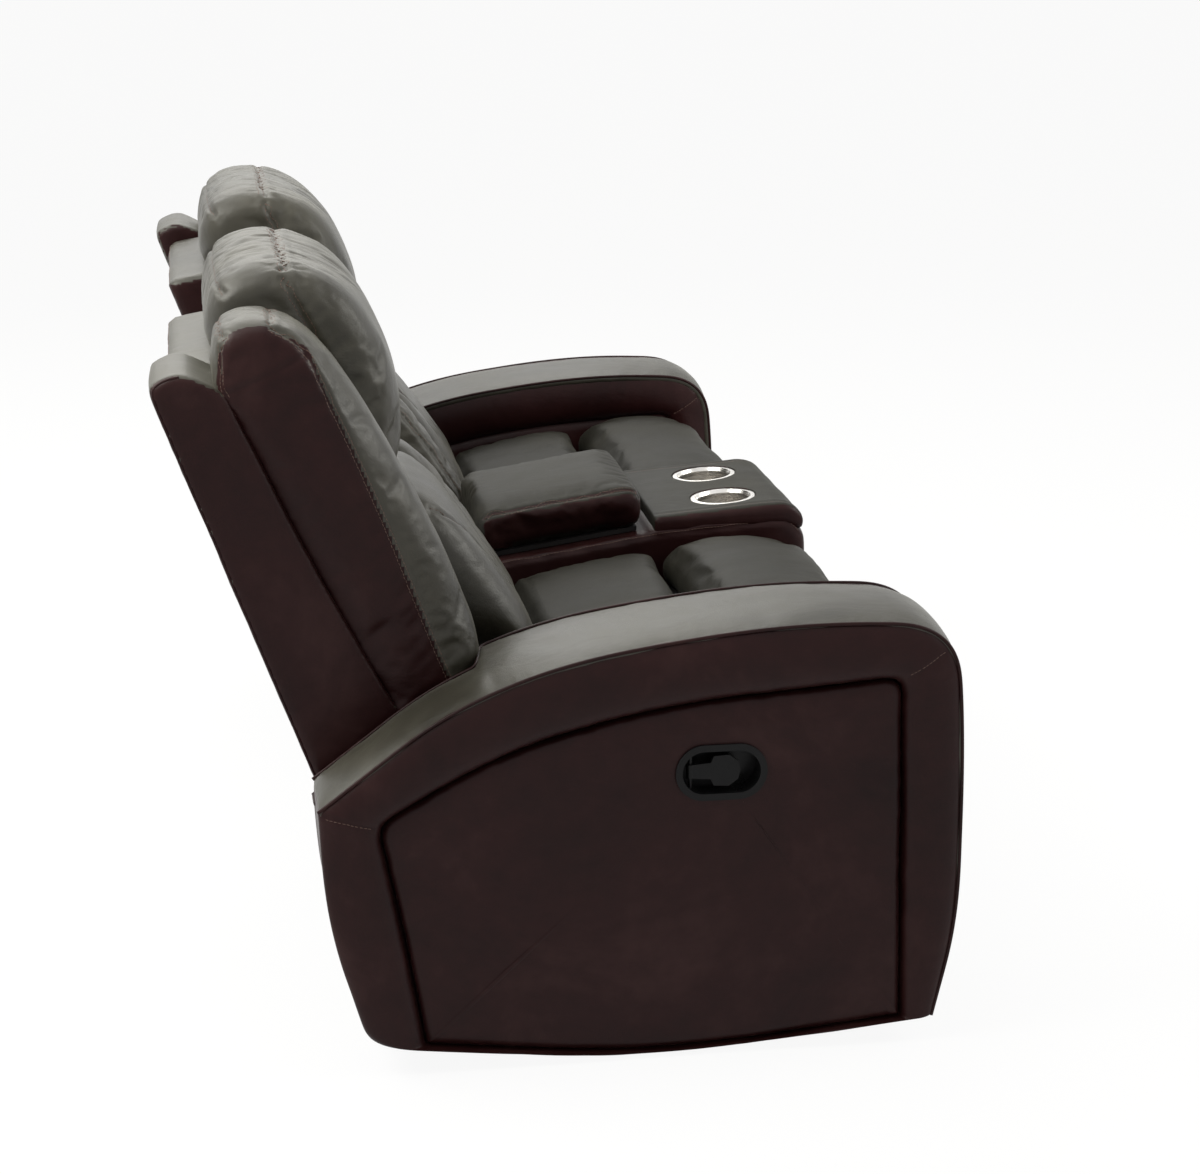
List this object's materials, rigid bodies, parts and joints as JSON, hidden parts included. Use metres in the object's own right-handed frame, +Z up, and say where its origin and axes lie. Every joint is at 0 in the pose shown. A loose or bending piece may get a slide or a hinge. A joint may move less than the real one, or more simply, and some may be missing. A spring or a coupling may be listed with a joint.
{
  "type": "reclining loveseat",
  "caption": "Two-seat reclining loveseat with a padded storage console and cup holders between the seats, curved arms and fold-out footrests.",
  "frame": {"origin": "centre of the overall box on the floor", "axes": "+X along the seats to the sitter's left arm, -Y to the front, +Z up"},
  "size_m": [1.93, 1.038, 1.0161],
  "materials": {
    "leather": "soft semi-gloss grained leather over foam",
    "plastic": "satin moulded",
    "wood": "raw plywood and sawn timber",
    "steel": "black lacquered stamped steel",
    "painted_steel": "powder coated steel tube",
    "spring_steel": "bright drawn wire",
    "cup_steel": "spun stainless with a polished flange",
    "fabric": "thin black woven dust cloth"
  },
  "bodies": {
    "base": {"console_case": "leather", "console_deck": "leather", "console_liner": "plastic", "right_cup_holder": "cup_steel", "left_cup_holder": "cup_steel", "base_tubes": "painted_steel", "feet": "plastic", "rear_panel": "leather", "dust_cover": "fabric", "right_arm_shell": "leather", "right_arm_frame": "wood", "right_arm_side_panel": "leather", "right_arm_top_pad": "leather", "right_handle_bezel": "plastic", "right_seat_frame": "wood", "right_seat_springs": "spring_steel", "right_seat_cushion": "leather", "right_thigh_pad": "leather", "right_mechanism_plates": "steel", "left_arm_shell": "leather", "left_arm_frame": "wood", "left_arm_side_panel": "leather", "left_arm_top_pad": "leather", "left_handle_bezel": "plastic", "left_seat_frame": "wood", "left_seat_springs": "spring_steel", "left_seat_cushion": "leather", "left_thigh_pad": "leather", "left_mechanism_plates": "steel"},
    "lid": {"console_lid": "leather", "lid_board": "wood"},
    "right_handle": {"right_handle_paddle": "plastic"},
    "right_back": {"right_back_frame": "painted_steel", "right_back_shell": "leather", "right_back_wing": "leather", "right_outer_bolster": "leather", "right_inner_bolster": "leather", "right_head_cushion": "leather", "right_lumbar_cushion": "leather"},
    "right_lower_link": {"right_lower_links": "steel"},
    "right_upper_link": {"right_upper_links": "steel"},
    "right_lower_control": {"right_lower_control_links": "steel"},
    "right_board_control": {"right_board_control_links": "steel"},
    "right_footrest": {"right_footrest_board": "wood", "right_footrest_pad": "leather"},
    "left_handle": {"left_handle_paddle": "plastic"},
    "left_back": {"left_back_frame": "painted_steel", "left_back_shell": "leather", "left_back_wing": "leather", "left_outer_bolster": "leather", "left_inner_bolster": "leather", "left_head_cushion": "leather", "left_lumbar_cushion": "leather"},
    "left_lower_link": {"left_lower_links": "steel"},
    "left_upper_link": {"left_upper_links": "steel"},
    "left_lower_control": {"left_lower_control_links": "steel"},
    "left_board_control": {"left_board_control_links": "steel"},
    "left_footrest": {"left_footrest_board": "wood", "left_footrest_pad": "leather"}
  },
  "joints": [
    {"name": "lid_hinge", "type": "hinge", "parent": "base", "child": "lid", "pos_m": [0, 0.056, 0.47666], "axis": [-1, 0, 0], "range_deg": [0, 85]},
    {"name": "right_handle_pull", "type": "hinge", "parent": "base", "child": "right_handle", "pos_m": [-0.952, -0.149, 0.393], "axis": [0, 0, -1], "range_deg": [0, 22], "stiffness_Nm_per_rad": 0.6},
    {"name": "right_recline", "type": "hinge", "parent": "base", "child": "right_back", "pos_m": [-0.461, 0.189, 0.165], "axis": [-1, 0, 0], "range_deg": [0, 28]},
    {"name": "right_footrest_open", "type": "hinge", "parent": "base", "child": "right_lower_link", "pos_m": [-0.461, -0.324, 0.352], "axis": [-1, 0, 0], "range_deg": [0, 79.4]},
    {"name": "right_upper_pivot", "type": "hinge", "parent": "right_lower_link", "child": "right_upper_link", "pos_m": [-0.461, -0.26545, 0.11719], "axis": [-1, 0, 0], "range_deg": [-100.9, 0]},
    {"name": "right_board_pivot", "type": "hinge", "parent": "right_upper_link", "child": "right_footrest", "pos_m": [-0.461, -0.40784, 0.34069], "axis": [-1, 0, 0], "range_deg": [0, 111.5]},
    {"name": "right_lower_control_pivot", "type": "hinge", "parent": "base", "child": "right_lower_control", "pos_m": [-0.461, -0.29, 0.313], "axis": [-1, 0, 0], "range_deg": [0, 79.6]},
    {"name": "right_board_control_pivot", "type": "hinge", "parent": "right_lower_link", "child": "right_board_control", "pos_m": [-0.461, -0.26573, 0.0728], "axis": [-1, 0, 0], "range_deg": [-101, 0]},
    {"name": "left_handle_pull", "type": "hinge", "parent": "base", "child": "left_handle", "pos_m": [0.952, -0.149, 0.393], "axis": [0, 0, 1], "range_deg": [0, 22], "stiffness_Nm_per_rad": 0.6},
    {"name": "left_recline", "type": "hinge", "parent": "base", "child": "left_back", "pos_m": [0.461, 0.189, 0.165], "axis": [-1, 0, 0], "range_deg": [0, 28]},
    {"name": "left_footrest_open", "type": "hinge", "parent": "base", "child": "left_lower_link", "pos_m": [0.461, -0.324, 0.352], "axis": [-1, 0, 0], "range_deg": [0, 79.4]},
    {"name": "left_upper_pivot", "type": "hinge", "parent": "left_lower_link", "child": "left_upper_link", "pos_m": [0.461, -0.26545, 0.11719], "axis": [-1, 0, 0], "range_deg": [-100.9, 0]},
    {"name": "left_board_pivot", "type": "hinge", "parent": "left_upper_link", "child": "left_footrest", "pos_m": [0.461, -0.40784, 0.34069], "axis": [-1, 0, 0], "range_deg": [0, 111.5]},
    {"name": "left_lower_control_pivot", "type": "hinge", "parent": "base", "child": "left_lower_control", "pos_m": [0.461, -0.29, 0.313], "axis": [-1, 0, 0], "range_deg": [0, 79.6]},
    {"name": "left_board_control_pivot", "type": "hinge", "parent": "left_lower_link", "child": "left_board_control", "pos_m": [0.461, -0.26573, 0.0728], "axis": [-1, 0, 0], "range_deg": [-101, 0]}
  ],
  "couplings": [
    {"joint": "right_upper_pivot", "follows": "right_footrest_open", "ratio": -1.2695},
    {"joint": "right_board_pivot", "follows": "right_footrest_open", "ratio": 1.4024},
    {"joint": "right_lower_control_pivot", "follows": "right_footrest_open", "ratio": 1},
    {"joint": "right_board_control_pivot", "follows": "right_footrest_open", "ratio": -1.27},
    {"joint": "left_upper_pivot", "follows": "left_footrest_open", "ratio": -1.2695},
    {"joint": "left_board_pivot", "follows": "left_footrest_open", "ratio": 1.4024},
    {"joint": "left_lower_control_pivot", "follows": "left_footrest_open", "ratio": 1},
    {"joint": "left_board_control_pivot", "follows": "left_footrest_open", "ratio": -1.27}
  ]
}
